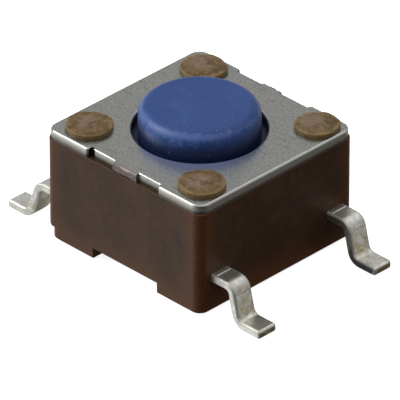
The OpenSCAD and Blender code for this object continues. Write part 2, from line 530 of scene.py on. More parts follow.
@dataclass(frozen=True)
class MouldedNylon(Finish):
    """Brown glass-filled nylon, injection moulded and heat staked.

    The mould leaves a dull skin with fine specks of glass. The upright corners and the bottom
    are painted warmer: painted light, for light let through the thin edges and bounced up from
    the floor. The staking tool melts the posts' heads, which turns them paler and mottled, pink
    in the middle, with an olive rim where the melt was squeezed out. A painted highlight lies
    on each head's rounded shoulder.
    Glass fibres are about 0.01 mm thick, so the grit is drawn coarser than they are, to show.
    """

    skin: str = "#3b2618"
    cloud: str = "#452f1f"
    shade: str = "#312216"
    # warm blotches, and painted light on the upright corners and the bottom
    warm: str = "#58341a"
    speck: str = "#8d7f70"
    head: str = "#6a5639"
    head_pink: str = "#7e695b"
    head_olive: str = "#564220"
    head_fleck: str = "#a8937f"
    # painted highlight on the heads' rounded shoulders
    head_highlight: str = "#967e5c"
    head_side: str = "#75603c"
    gloss: str = "#fff0e2"
    roughness: float = 0.42
    ior: float = 1.345
    grains: tuple[float, ...] = (1.1, 0.28, 0.12, 0.05)  # clouds, blotches, flecks, grit: mm
    streak_size: float = 0.3
    streak_squeeze: float = 0.2  # how much the melt's flow draws the streaks out along Z
    head_at: Flat = (2.17, 2.2)  # middle of each staked head
    head_from: Flat = (3.53, COVER_TOP)  # height over which the heads' tone takes over
    dents: float = 4.0  # how much deeper the heads are dented than the skin
    relief: float = 0.008

    def make(self) -> bpy.types.Material:
        """Builds the material.

        Returns:
            The material.
        """
        material, tree, shader, coords = new_material("glass_filled_nylon")
        axes = place(tree, "SeparateXYZ", {"Vector": coords}).outputs
        across, along = (sums(tree, axes[i], ("ABSOLUTE", None)) for i in (0, 1))
        z = axes[2]
        broad, middling, fine, grit = (
            out(place(tree, "TexNoise", {"Vector": coords, "Scale": per(size), "Detail": DETAIL}))
            for size in self.grains
        )
        wander = sums(tree, broad, ("MULTIPLY", 0.3))
        inset = sums(tree, across, ("MINIMUM", along), ("ADD", wander))
        foot = sums(tree, z, ("ADD", sums(tree, broad, ("MULTIPLY", -0.7))))
        flow = place(tree, "Mapping", {"Vector": coords, "Scale": (1.0, 1.0, self.streak_squeeze)})
        streak = out(
            place(
                tree,
                "TexNoise",
                {"Vector": out(flow), "Scale": per(self.streak_size), "Detail": DETAIL},
            )
        )
        body = lay_coats(
            tree,
            self.skin,
            (
                Coat(broad, 0.35, 0.65, self.cloud),
                Coat(streak, 0.5, 0.7, self.shade, 0.5),
                Coat(middling, 0.5, 0.72, self.warm, 0.3),
                # painted light: the upright corners and the bottom are painted warmer, for light
                # let through the thin edges and bounced up from the floor
                Coat(inset, 2.3, 3.1, self.warm),
                Coat(foot, 0.7, -0.25, self.warm),
                Coat(grit, 0.42, 0.32, self.shade, 0.6),
                Coat(grit, 0.62, 0.76, self.speck, 0.5),
            ),
        )
        near = place(
            tree,
            "CombineXYZ",
            {
                "X": sums(tree, across, ("SUBTRACT", self.head_at[0])),
                "Y": sums(tree, along, ("SUBTRACT", self.head_at[1])),
            },
        )
        reach = out(place(tree, "VectorMath", {"Vector": out(near)}, operation="LENGTH"), "Value")
        ragged = sums(tree, middling, ("MULTIPLY", 0.35), ("ADD", reach))
        # height of the painted highlight on each head's shoulder
        shoulder_highlight = sums(tree, middling, ("MULTIPLY", 0.04), ("ADD", z))
        melt = lay_coats(
            tree,
            self.head,
            (
                Coat(ragged, 0.62, 0.4, self.head_pink, 0.65),
                Coat(middling, 0.5, 0.66, self.head_olive, 0.8),
                Coat(fine, 0.46, 0.34, self.head_fleck, 0.3),
                Coat(ragged, 0.64, 0.76, self.head_olive, 0.6),
                # painted highlight on each head's rounded shoulder
                Coat(shoulder_highlight, 3.725, 3.7, self.head_highlight, 0.5),
                Coat(z, 3.675, 3.66, self.head_side),
            ),
        )
        low, high = self.head_from
        above = out(place(tree, "MapRange", {"Value": z, "From Min": low, "From Max": high}))
        tone = place(tree, "Mix", {"Factor": above, "A": body, "B": melt}, data_type="RGBA")
        dents = sums(tree, middling, ("MULTIPLY", above), ("MULTIPLY", self.dents))
        relief = sums(tree, fine, ("ADD", grit), ("ADD", dents))
        self.join(tree, shader, out(tone), relief, self.relief)
        shader.inputs["Roughness"].default_value = self.roughness
        shader.inputs["IOR"].default_value = self.ior
        shader.inputs["Specular Tint"].default_value = linear(self.gloss)
        return material


@dataclass(frozen=True)
class StampedStainless(Finish):
    """Cold-rolled stainless sheet, stamped: satin grey with a fine grain and tray scratches.

    Its fine scratches scatter some light, so it is a little paler than a mirror would be. The
    rims are burnished bright, the sides are sheared dull and the torn stub is rough. Painted
    shade darkens the sides towards the bottom, the hole's bore and the nick in each notch, and
    a painted reflection of the button's blue lies on the plate in front of the hole.
    The real grain is finer than 0.01 mm, so it is drawn coarser, to show.
    """

    steel: str = "#bdbeba"
    dull: str = "#a6a7a2"
    scratch: str = "#6a6962"
    burnished: str = "#cfcfcb"
    shear: str = "#b0aea6"
    # painted shade on the lower sides
    lower_side_shade: str = "#5a5853"
    # painted shade in the hole's bore
    bore_shade: str = "#46464a"
    # painted shade in the nick of each notch
    hollow: str = "#34322e"
    torn: str = "#8d8580"
    # painted reflection of the button's blue on the plate
    painted_blue_reflection: str = "#767fa2"
    metallic: float = 0.97
    # metallic where the painted reflection lies
    painted_reflection_metallic: float = 0.4
    roughness: float = 0.28
    grains: tuple[float, ...] = (0.06, 0.2, 0.8)  # grain, blotches, waves: mm
    scratch_size: float = 0.5
    scratch_squeeze: float = 6.0
    scratch_turn: float = -50.0  # the way the sheet was rolled, in degrees
    border_at: float = 2.93  # where the rounded outer border starts
    hole_rim: float = 1.9
    side_top: float = 3.46  # the sheared sides lie below this height
    bore_top: float = 3.49
    bore_reach: float = 2.0
    tear: Flat = (1.0, 2.864)  # the torn stubs lie within this X and beyond this Y
    more_shade_from: float = 2.8  # the lower sides beyond this Y get more painted shade
    pit: Point = (-1.29, NOTCH_FLOOR, 3.53)  # the nick in each notch, painted dark as shade, and its top
    pit_reach: float = 0.12
    # where the painted reflection of the button starts, from the middle
    reflection_from: float = 1.45
    relief: float = 0.0012

    def make(self) -> bpy.types.Material:
        """Builds the material.

        Returns:
            The material.
        """
        material, tree, shader, coords = new_material("stamped_stainless")
        axes = place(tree, "SeparateXYZ", {"Vector": coords}).outputs
        across, along = (sums(tree, axes[i], ("ABSOLUTE", None)) for i in (0, 1))
        grain, middling, broad = (
            out(place(tree, "TexNoise", {"Vector": coords, "Scale": per(size), "Detail": DETAIL}))
            for size in self.grains
        )
        drawn = place(
            tree,
            "Mapping",
            {
                "Vector": coords,
                "Rotation": (0.0, 0.0, math.radians(self.scratch_turn)),
                "Scale": (1.0, self.scratch_squeeze, 1.0),
            },
        )
        streak = out(
            place(
                tree,
                "TexNoise",
                {"Vector": out(drawn), "Scale": per(self.scratch_size), "Detail": DETAIL},
            )
        )
        flat = place(tree, "CombineXYZ", {"X": axes[0], "Y": axes[1]})
        reach = out(place(tree, "VectorMath", {"Vector": out(flat)}, operation="LENGTH"), "Value")
        outer = sums(tree, across, ("MAXIMUM", along), ("SUBTRACT", self.border_at))
        rim = sums(
            tree,
            reach,
            ("MULTIPLY", -1.0),
            ("ADD", self.hole_rim),
            ("MAXIMUM", outer),
            ("ADD", sums(tree, middling, ("MULTIPLY", 0.06))),
        )
        torn = sums(
            tree,
            along,
            ("GREATER_THAN", self.tear[1]),
            ("MULTIPLY", sums(tree, across, ("LESS_THAN", self.tear[0]))),
        )
        side = sums(tree, axes[2], ("LESS_THAN", self.side_top))
        # wobbly height for the painted shade on the lower sides
        side_shade_height = sums(tree, middling, ("MULTIPLY", 0.06), ("ADD", axes[2]))
        more_side_shade = sums(tree, along, ("GREATER_THAN", self.more_shade_from), ("MULTIPLY", side))
        more_side_shade = sums(tree, more_side_shade, ("MULTIPLY", -0.06), ("ADD", side_shade_height))
        # where the hole's bore is painted dark as shade
        bore_shade = sums(
            tree,
            axes[2],
            ("LESS_THAN", self.bore_top),
            ("MULTIPLY", sums(tree, reach, ("LESS_THAN", self.bore_reach))),
        )
        # where the nick in each notch is painted dark as shade
        hollow = sums(
            tree,
            axes[0],
            ("SUBTRACT", self.pit[0]),
            ("ABSOLUTE", None),
            ("ADD", sums(tree, along, ("SUBTRACT", self.pit[1]), ("ABSOLUTE", None))),
            ("ADD", sums(tree, axes[2], ("GREATER_THAN", self.pit[2]))),
            ("LESS_THAN", self.pit_reach),
        )
        # the painted reflection of the button leans towards +X and -Y
        corner_way = sums(tree, axes[0], ("SUBTRACT", axes[1]), ("MULTIPLY", -0.22))
        # where the painted reflection of the button's blue lies, in front of the hole
        blotch_and_painted_light = sums(
            tree,
            reach,
            ("SUBTRACT", self.reflection_from),
            ("ADD", corner_way),
            ("ADD", sums(tree, middling, ("MULTIPLY", 0.3))),
        )
        tone = lay_coats(
            tree,
            self.dull,
            (
                Coat(grain, 0.3, 0.7, self.steel),
                Coat(streak, 0.6, 0.72, self.scratch, 0.6),
                # painted reflection of the button's blue
                Coat(blotch_and_painted_light, 0.5, 0.15, self.painted_blue_reflection),
                Coat(rim, 0.02, 0.05, self.burnished),
                Coat(side, 0.0, 1.0, self.shear),
                # painted shade: the sides darken towards the bottom, more on the +Y and -Y sides
                Coat(side_shade_height, 3.42, 3.3, self.lower_side_shade, 0.5),
                Coat(more_side_shade, 3.4, 3.27, self.lower_side_shade, 0.8),
                # painted shade in the hole's bore
                Coat(bore_shade, 0.0, 1.0, self.bore_shade),
                # painted shade in the nick of each notch
                Coat(hollow, 0.0, 1.0, self.hollow),
                Coat(torn, 0.0, 1.0, self.torn),
            ),
        )
        shine = sums(tree, rim, ("GREATER_THAN", 0.03), ("MULTIPLY", -0.03))
        rough = sums(
            tree,
            sums(tree, grain, ("MULTIPLY", 0.12)),
            ("ADD", self.roughness - 0.06),
            ("ADD", shine),
            ("ADD", sums(tree, side, ("MULTIPLY", 0.2))),
            ("ADD", sums(tree, torn, ("MULTIPLY", 0.2))),
        )
        self.join(tree, shader, tone, sums(tree, grain, ("ADD", broad)), self.relief, rough)
        # the painted reflection is less metallic, so that its blue shows
        bare = place(
            tree,
            "MapRange",
            {
                "Value": blotch_and_painted_light,
                "From Min": 0.15,
                "From Max": 0.5,
                "To Min": self.painted_reflection_metallic,
                "To Max": self.metallic,
            },
        )
        tree.links.new(out(bare), shader.inputs["Metallic"])
        return material


@dataclass(frozen=True)
class ButtonPlastic(Finish):
    """Blue nylon, moulded with a matte skin, rubbed paler in patches by fingers and trays.

    A painted highlight lightens the rounded edge, most on its -Y side, and painted shade
    darkens the side towards the bottom. Its matte grain is drawn coarser than the real one, to
    show.
    """

    blue: str = "#20427f"
    # painted shade low on the button's side
    deep: str = "#17244a"
    # paler blue, for random patches and for the painted highlight
    blotch_and_painted_light: str = "#506aa8"
    fleck: str = "#8a9ac8"
    roughness: float = 0.42
    ior: float = 1.45
    grains: tuple[float, ...] = (0.9, 0.3, 0.07)  # clouds, blotches, grain: mm
    highlight_at: float = 1.61  # where the painted highlight on the rounded edge is brightest
    relief: float = 0.006

    def make(self) -> bpy.types.Material:
        """Builds the material.

        Returns:
            The material.
        """
        material, tree, shader, coords = new_material("blue_nylon")
        axes = place(tree, "SeparateXYZ", {"Vector": coords}).outputs
        broad, middling, grain = (
            out(place(tree, "TexNoise", {"Vector": coords, "Scale": per(size), "Detail": DETAIL}))
            for size in self.grains
        )
        flat = place(tree, "CombineXYZ", {"X": axes[0], "Y": axes[1]})
        reach = out(place(tree, "VectorMath", {"Vector": out(flat)}, operation="LENGTH"), "Value")
        # painted highlight: a ring round the rounded edge, stronger on the -Y side
        ring = sums(
            tree, reach, ("SUBTRACT", self.highlight_at), ("ABSOLUTE", None), ("MULTIPLY", -2.5)
        )
        painted_highlight = sums(
            tree,
            middling,
            ("ADD", grain),
            ("MULTIPLY", 0.5),
            ("ADD", ring),
            ("ADD", sums(tree, axes[1], ("MULTIPLY", -0.09))),
        )
        # height for the painted shade low on the side
        low = sums(tree, broad, ("MULTIPLY", 0.15), ("ADD", axes[2]))
        tone = lay_coats(
            tree,
            self.blue,
            (
                Coat(broad, 0.45, 0.8, self.blotch_and_painted_light, 0.2),
                # painted highlight round the rounded edge
                Coat(painted_highlight, 0.3, 0.6, self.blotch_and_painted_light, 0.75),
                # painted shade: darker towards the bottom of the side
                Coat(low, 4.12, 3.76, self.deep),
                Coat(grain, 0.66, 0.78, self.fleck, 0.5),
            ),
        )
        self.join(tree, shader, tone, grain, self.relief)
        shader.inputs["Roughness"].default_value = self.roughness
        shader.inputs["IOR"].default_value = self.ior
        return material


@dataclass(frozen=True)
class TinPlate(Finish):
    """Bright tin over brass strip: silvery and soft, tarnished straw on the bent legs.

    The tips were cut after plating, so they show dull bare brass. Painted glints dot the legs
    near their lower bends.
    """

    tin: str = "#eae9e2"
    grey: str = "#c9c8c1"
    straw: str = "#bba56c"
    crease: str = "#9c8c50"
    # painted glints on the legs
    painted_glint: str = "#f0e6c4"
    brass: str = "#877551"
    roughness: float = 0.38
    grains: tuple[float, ...] = (0.3, 0.14, 0.07)  # blotches, ripples, grain: mm
    cut_at: float = 4.842  # the cut tips lie beyond this X
    outer_from: float = 3.5  # the lower bends lie beyond this X
    face_half: float = 0.32  # half the width of the strip's tarnished face
    roll: Flat = (0.3, 0.036)  # middle and half width of the rolled side edge
    leg_mid: float = 0.65  # heights of the leg and of its two creased bends
    upper_bend: float = 1.14
    lower_bend: float = 0.47
    crease_pitch: float = 0.07
    relief: float = 0.0015

    def make(self) -> bpy.types.Material:
        """Builds the material.

        Returns:
            The material.
        """
        material, tree, shader, coords = new_material("tin_plate")
        axes = place(tree, "SeparateXYZ", {"Vector": coords}).outputs
        across, along = (sums(tree, axes[i], ("ABSOLUTE", None)) for i in (0, 1))
        cut = sums(tree, across, ("GREATER_THAN", self.cut_at))
        outer = sums(tree, across, ("GREATER_THAN", self.outer_from))
        middling, fine, grain = (
            out(place(tree, "TexNoise", {"Vector": coords, "Scale": per(size), "Detail": DETAIL}))
            for size in self.grains
        )
        off_side = sums(tree, along, ("SUBTRACT", STRIP_AT), ("ABSOLUTE", None))
        leg = sums(
            tree,
            axes[2],
            ("SUBTRACT", self.leg_mid),
            ("ABSOLUTE", None),
            ("MULTIPLY", -0.6),
            ("ADD", middling),
            ("SUBTRACT", sums(tree, off_side, ("GREATER_THAN", self.face_half))),
        )
        roll_at, roll_half = self.roll
        roll = sums(
            tree, off_side, ("SUBTRACT", roll_at), ("ABSOLUTE", None), ("LESS_THAN", roll_half)
        )
        wavy = sums(tree, middling, ("MULTIPLY", 0.3), ("ADD", axes[2]))
        off_bend = sums(tree, wavy, ("SUBTRACT", self.upper_bend), ("ABSOLUTE", None))
        crease = sums(
            tree,
            wavy,
            ("PINGPONG", self.crease_pitch),
            ("ADD", sums(tree, off_bend, ("GREATER_THAN", 0.1))),
            ("ADD", sums(tree, off_side, ("GREATER_THAN", roll_at))),
        )
        # band near the lower bends, for tarnish and painted glints
        low = sums(
            tree,
            axes[2],
            ("SUBTRACT", self.lower_bend),
            ("ABSOLUTE", None),
            ("MULTIPLY", -1.5),
            ("ADD", fine),
            ("MULTIPLY", outer),
        )
        tone = lay_coats(
            tree,
            self.tin,
            (
                Coat(fine, 0.4, 0.65, self.grey, 0.6),
                Coat(leg, 0.25, 0.5, self.straw, 0.45),
                Coat(crease, 0.05, 0.0, self.crease, 0.5),
                Coat(low, 0.25, 0.45, self.crease, 0.45),
                # painted glints near the lower bends
                Coat(low, 0.44, 0.52, self.painted_glint, 0.8),
                Coat(roll, 0.0, 1.0, self.grey, 0.7),
                Coat(cut, 0.0, 1.0, self.brass),
                Coat(sums(tree, cut, ("MULTIPLY", fine)), 0.45, 0.65, self.tin, 0.3),
            ),
        )
        rough = sums(
            tree,
            sums(tree, fine, ("MULTIPLY", 0.24)),
            ("ADD", self.roughness - 0.12),
            ("ADD", sums(tree, cut, ("MULTIPLY", 0.25))),
            ("ADD", sums(tree, roll, ("MULTIPLY", 0.2))),
        )
        bare = sums(tree, cut, ("MULTIPLY", -0.4), ("ADD", 1.0))
        tree.links.new(bare, shader.inputs["Metallic"])
        self.join(tree, shader, tone, sums(tree, fine, ("ADD", grain)), self.relief, rough)
        return material


@dataclass(frozen=True)
class SpringSteel(Finish):
    """Rolled spring steel, bright and faintly straw coloured from its temper."""

    steel: str = "#c4bda8"
    shade: str = "#aca48e"
    roughness: float = 0.22
    grain: float = 0.6
    squeeze: float = 12.0  # how much rolling draws the grain out
    relief: float = 0.001

    def make(self) -> bpy.types.Material:
        """Builds the material.

        Returns:
            The material.
        """
        material, tree, shader, coords = new_material("spring_steel")
        rolled = place(tree, "Mapping", {"Vector": coords, "Scale": (1.0, self.squeeze, 1.0)})
        cloud = {"Vector": out(rolled), "Scale": per(self.grain), "Detail": DETAIL}
        grain = out(place(tree, "TexNoise", cloud))
        tone = lay_coats(tree, self.shade, (Coat(grain, 0.3, 0.7, self.steel),))
        self.join(tree, shader, tone, grain, self.relief)
        shader.inputs["Roughness"].default_value = self.roughness
        shader.inputs["Metallic"].default_value = 1.0
        return material


# ---- Pieces ----


@dataclass
class Piece(ABC):
    """One physical piece of the switch, modelled in millimetres in the model's frame."""

    name: str
    node: str
    body: Body
    slot: str
    finish: Finish

    @abstractmethod
    def model(self) -> Obj:
        """Models the piece.

        Returns:
            The piece, in millimetres.
        """

    def dress(self, obj: Obj) -> None:
        """Gives the piece its finish."""
        obj.data.materials.clear()
        obj.data.materials.append(self.finish.make())

    def add(self) -> Obj:
        """Returns:
            The finished object, in metres, riding on its body.
        """
        obj = self.model()
        finish_mesh(obj)
        obj.name = self.name
        self.dress(obj)
        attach(obj, self.body.value)
        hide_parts(self.node)
        LOG.info("%s: %d faces on %s", self.name, len(obj.data.polygons), self.body.value)
        return obj


@dataclass
class Lead:
    """How one gull-wing lead was formed: its leg's lean, its foot's lift and sideways skew."""

    lean: float = 14.0
    lift: float = 0.0
    skew: float = 0.0


@dataclass
class ContactStrip(Piece):
    """A strip across the base with a gull-wing lead drawn out of each end."""

    y: float = 0.0
    front: Lead = field(default_factory=Lead)
    back: Lead = field(default_factory=Lead)
    thick: float = 0.25
    wide: float = 0.68
    under: float = 1.03
    wall: float = 3.0
    reach: float = 1.85
    shoulder: float = 0.53
    bend: float = 0.12
    foot_bend: float = 0.18
    bend_steps: int = 8
    tip_edge: float = 0.09
    edge: float = 0.07
    ridge_at: float = 3.15
    ridge_half: float = 0.028
    ridge_root: float = 1.2
    ridge_rise: float = 0.024
    ridge_edge: float = 0.016
    lock_hole: float = 0.15
    lock_at: float = POST_AT
    lock_cut: Flat = (0.9, 0.5)  # foot and length of the locking hole's cutter
    land_rise: float = 0.08

    def pull_lead(self, strip: Obj, side: int, lead: Lead) -> None:
        """Draws one lead out of the strip's end: shoulder, bend, leg, bend and foot.

        Args:
            strip: The strip, with flat ends at the moulding's walls.
            side: 1 for the +X end, -1 for the -X end.
            lead: How this lead was formed.
        """
        lean = math.radians(lead.lean)
        sweep = math.radians(90.0 - lead.lean)
        across = self.bend + self.thick + self.foot_bend
        drop = self.thick + self.foot_bend + lead.lift
        bend_x, bend_z = self.wall + self.shoulder, self.under - self.bend
        leg = (bend_z + across * math.sin(lean) - drop) / math.cos(lean)
        foot_x = bend_x + across * math.cos(lean) + leg * math.sin(lean)
        foot = self.wall + self.reach - foot_x
        wall = self.wall - WELD
        mark_faces(strip, lambda at, normal: at.x * side > wall and normal.x * side > FACING)
        with editing(strip, "FACE"):
            move = bpy.ops.mesh.extrude_region_move
            move(TRANSFORM_OT_translate={"value": (side * self.shoulder, 0.0, 0.0)})
            bpy.ops.mesh.spin(
                steps=self.bend_steps,
                angle=-side * sweep,
                center=(side * bend_x, self.y, bend_z),
                axis=(0, 1, 0),
            )
            along = (side * leg * math.sin(lean), 0.0, -leg * math.cos(lean))
            move(TRANSFORM_OT_translate={"value": along})
            bpy.ops.mesh.spin(
                steps=self.bend_steps,
                angle=side * sweep,
                center=(side * foot_x, self.y, drop),
                axis=(0, 1, 0),
            )
            move(TRANSFORM_OT_translate={"value": (side * foot, 0.0, 0.0)})
        for point in strip.data.vertices:
            share = (point.co.x * side - bend_x) / (foot_x - bend_x)
            point.co.y += lead.skew * min(1.0, max(0.0, share))

    def bar(self) -> Obj:
        """Models the strip from tip to tip, with rounded edges and its two locking holes.

        Returns:
            The strip.
        """
        low = (-self.wall, self.y - self.wide / 2, self.under)
        high = (self.wall, self.y + self.wide / 2, self.under + self.thick)
        strip = box(self.name, low, high)
        self.pull_lead(strip, 1, self.front)
        self.pull_lead(strip, -1, self.back)
        tip = self.wall + self.reach - WELD
        top = self.thick * 0.8  # only the upper edge of a foot's tip lies above this
        mark_edges(strip, lambda a, b: min(abs(a.x), abs(b.x)) > tip and min(a.z, b.z) > top)
        bevel_marked(strip, self.tip_edge, 4)
        soften(strip, self.edge, 3)
        half = self.wide / 2 - self.edge
        crest = self.under + self.thick + self.ridge_rise
        foot, length = self.lock_cut
        for side in (-1, 1):
            at = side * self.ridge_at
            low = (at - self.ridge_half, self.y - half, self.ridge_root)
            ridge = box("ridge", low, (at + self.ridge_half, self.y + half, crest))
            soften(ridge, self.ridge_edge, 2)
            work_in(strip, ridge, Fit.FUSE)
            hole = rod("lock", self.lock_hole, (side * self.lock_at, self.y, foot), length, 24)
            work_in(strip, hole, Fit.CUT)
        return strip


@dataclass
class CentreStrip(ContactStrip):
    """The front strip, with the tongue to the pad under the dome's middle."""

    tongue: float = 0.7
    pad: float = 0.5

    def model(self) -> Obj:
        """Models the strip, its tongue and its pad.

        Returns:
            The strip.
        """
        strip = self.bar()
        top = self.under + self.thick
        tongue = box("tongue", (-self.tongue / 2, self.y, self.under), (self.tongue / 2, 0.0, top))
        work_in(strip, tongue, Fit.FUSE)
        pad = rod("pad", self.pad, (0.0, 0.0, self.under + self.land_rise), self.thick)
        work_in(strip, pad, Fit.FUSE)
        return strip


@dataclass
class RimStrip(ContactStrip):
    """The back strip, with the horseshoe land that the dome's rim rests on."""

    land_out: float = 1.95
    land_in: float = 1.55
    mouth: float = 1.3
    neck: float = 1.3

    def model(self) -> Obj:
        """Models the strip, its neck and its horseshoe.

        Returns:
            The strip.
        """
        strip = self.bar()
        low, high = self.under + self.land_rise, self.under + self.land_rise + self.thick
        ring = [
            (self.land_in, low),
            (self.land_out, low),
            (self.land_out, high),
            (self.land_in, high),
            (self.land_in, low),
        ]
        land = turned("land", ring)
        half = self.mouth / 2
        gap = box("mouth", (-half, -self.wall, low - OVERSHOOT), (half, 0.0, high + OVERSHOOT))
        work_in(land, gap, Fit.CUT)
        middle = (self.land_out + self.land_in) / 2
        top = self.under + self.thick
        neck = box("neck", (-self.neck / 2, middle, self.under), (self.neck / 2, self.y, top))
        work_in(land, neck, Fit.FUSE)
        work_in(strip, land, Fit.FUSE)
        return strip


@dataclass
class ContactDome(Piece):
    """The snap dome: a thin spring disc that lies on the land by its rim."""

    rim: float = 1.9
    thick: float = 0.07
    rise: float = 0.27
    seat: float = 1.36
    facets: int = 24
    joint: str = "button_press"
    pressed_share: float = 0.3

    def model(self) -> Obj:
        """Turns the dome's section, upper side and then underside.

        Returns:
            The dome.
        """
        radius = (self.rim**2 + self.rise**2) / (2 * self.rise)
        middle = (0.0, self.seat + self.rise - radius)
        reach = math.degrees(math.asin(self.rim / (radius + self.thick)))
        inner = math.degrees(math.asin(self.rim / radius))
        over = arc(middle, radius + self.thick, 90.0, 90.0 - reach, self.facets)
        below = arc(middle, radius, 90.0 - inner, 90.0, self.facets)
        return turned("dome", over + below)

    def add(self) -> Obj:
        """Adds the dome and gives it a mesh of its own.

        Returns:
            The dome, in metres.
        """
        obj = super().add()
        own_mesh(obj)
        return obj


@dataclass
class Plunger(Piece):
    """The button with its flange, guide lugs and the boss that presses the dome."""

    button: float = 1.7
    top: float = 4.3
    edge: float = 0.36
    flange: float = 2.145
    flange_low: float = 2.75
    flange_high: float = 3.25
    lug: float = 0.4
    lug_reach: float = 2.365
    boss: float = 0.7
    boss_tip: float = 1.6
    boss_low: float = 1.72
    break_edge: float = 0.03

    def model(self) -> Obj:
        """Turns the button on its axis and fuses the lugs on.

        Returns:
            The plunger.
        """
        cut = self.break_edge
        tilt = math.degrees(math.asin(self.boss / self.boss_tip))
        section = [
            *arc((0.0, self.boss_low + self.boss_tip), self.boss_tip, -90.0, -90.0 + tilt, 8),
            (self.boss, self.flange_low),
            (self.flange - cut, self.flange_low),
            (self.flange, self.flange_low + cut),
            (self.flange, self.flange_high - cut),
            (self.flange - cut, self.flange_high),
            (self.button, self.flange_high),
            *arc((self.button - self.edge, self.top - self.edge), self.edge, 0.0, 90.0, 16),
            (0.0, self.top),
        ]
        plunger = turned("plunger", section, ROUND)
        lugs = box(
            "lugs",
            (-self.lug_reach, -self.lug, self.flange_low),
            (self.lug_reach, self.lug, self.flange_high),
        )
        soften(lugs, cut, 2)
        work_in(plunger, lugs, Fit.FUSE)
        return plunger


@dataclass
class Notch:
    """A notch in the cover's edge on one side, -1 or 1, with the carrier strip's torn stub."""

    side: float
    stub_from: float
    stub_to: float
    hollow_at: float | None = None


@dataclass
class Cover(Piece):
    """The stamped cover plate: rounded upper edges, notches, hole and post holes."""

    half: float = 2.98
    low: float = COVER_LOW
    high: float = COVER_TOP
    corner: float = 0.35
    edge: float = 0.06
    notch_half: float = 1.35
    notch_floor: float = NOTCH_FLOOR
    notch_corner: float = 0.08
    floor_corner: float = 0.03
    stub_out: float = 2.95
    stub_root: float = 0.14
    score_deep: float = 0.05
    score_wide: float = 0.03
    tear_drop: float = 0.02
    tear_slope: float = 0.4
    tear_rough: float = 0.022
    tear_past: float = 0.005
    hollow: float = 0.075
    hole: float = 1.875
    hole_edge: float = 0.06
    post: float = 0.51
    post_at: float = POST_AT
    notches: Sequence[Notch] = ()

    def plate(self) -> Obj:
        """Models the plate with its corners, notches and rounded upper edge.

        Returns:
            The plate, without its holes.
        """
        plate = box(self.name, (-self.half,) * 2 + (self.low,), (self.half,) * 2 + (self.high,))
        near = self.half - WELD
        mark_edges(plate, lambda a, b: min(abs(a.x), abs(a.y)) > near and abs(a.z - b.z) > WELD)
        bevel_marked(plate, self.corner, 12)
        for notch in self.notches:
            ends = sorted(notch.side * y for y in (self.notch_floor, self.half + OVERSHOOT))
            low = (-self.notch_half, ends[0], self.low - OVERSHOOT)
            high = (self.notch_half, ends[1], self.high + OVERSHOOT)
            work_in(plate, box("notch", low, high), Fit.CUT)

        def upright_at(y: float) -> Test:
            """Makes the test for the notches' upright edges at one distance along Y.

            Args:
                y: The distance from the middle, in millimetres.

            Returns:
                The test.
            """
            return lambda a, b: (
                abs(abs(a.x) - self.notch_half) < WELD
                and abs(abs(a.y) - y) < WELD
                and abs(a.z - b.z) > WELD
            )

        corners = (self.half, self.notch_corner), (self.notch_floor, self.floor_corner)
        for y, radius in corners:
            mark_edges(plate, upright_at(y))
            bevel_marked(plate, radius, 5)
        mark_edges(plate, lambda a, b: min(a.z, b.z) > self.high - WELD)
        bevel_marked(plate, self.edge, 5)
        return plate

    def stub(self, notch: Notch) -> Obj:
        """Models the torn stub in a notch: scored from above, with a rough break below.

        Args:
            notch: The notch.

        Returns:
            The stub.
        """
        side = notch.side
        root, score = self.notch_floor - self.stub_root, self.high - self.score_deep
        ends = sorted((side * root, side * self.stub_out))
        low = (notch.stub_from, ends[0], self.low)
        stub = box("stub", low, (notch.stub_to, ends[1], self.high))
        with editing(stub):
            bpy.ops.mesh.select_all(action="SELECT")
            bpy.ops.mesh.subdivide(number_cuts=9)
        for point in stub.data.vertices:
            out_by = point.co.y * side - self.notch_floor
            if 0.0 < out_by < self.score_wide:
                point.co.z = min(point.co.z, score)
            elif out_by >= self.score_wide:
                broken = self.high - self.tear_drop - self.tear_slope * out_by
                point.co.z = min(point.co.z, broken)
        break_face = self.stub_out - WELD
        mark_faces(stub, lambda at, normal: at.y * side > break_face)
        with editing(stub, "FACE"):
            bpy.ops.transform.vertex_random(offset=self.tear_rough, uniform=0.3, seed=7)
        for point in stub.data.vertices:
            point.co.y = side * min(point.co.y * side, self.stub_out + self.tear_past)
            point.co.z = max(point.co.z, self.low)
        return stub

    def model(self) -> Obj:
        """Models the plate, its stubs and its holes.

        Returns:
            The cover.
        """
        plate = self.plate()
        for notch in self.notches:
            work_in(plate, self.stub(notch), Fit.FUSE)
            if notch.hollow_at is not None:
                at = (notch.hollow_at, notch.side * self.notch_floor, self.low - OVERSHOOT)
                work_in(plate, rod("hollow", self.hollow, at, THROUGH, 24), Fit.CUT)
        edge = self.hole_edge
        flare = arc((self.hole + edge, self.high - edge), edge, 180.0, 90.0, 5)
        drill = turned(
            "drill",
            [
                (0.0, self.low - OVERSHOOT),
                (self.hole, self.low - OVERSHOOT),
                *flare,
                (self.hole + edge, self.high + OVERSHOOT),
                (0.0, self.high + OVERSHOOT),
            ],
            ROUND,
        )
        work_in(plate, drill, Fit.CUT)
        for x in (-self.post_at, self.post_at):
            for y in (-self.post_at, self.post_at):
                at = (x, y, self.low - OVERSHOOT)
                work_in(plate, rod("post_hole", self.post, at, THROUGH, 48), Fit.CUT)
        return plate


@dataclass
class StakedHead:
    """The melted head of one post: a low mushroom, a little off its post."""

    x: float
    y: float
    across: float
    tall: float = 0.19
    rim: float = 0.09
    shoulder: float = 0.05
    uneven: float = 0.06
    ripple: float = 0.02


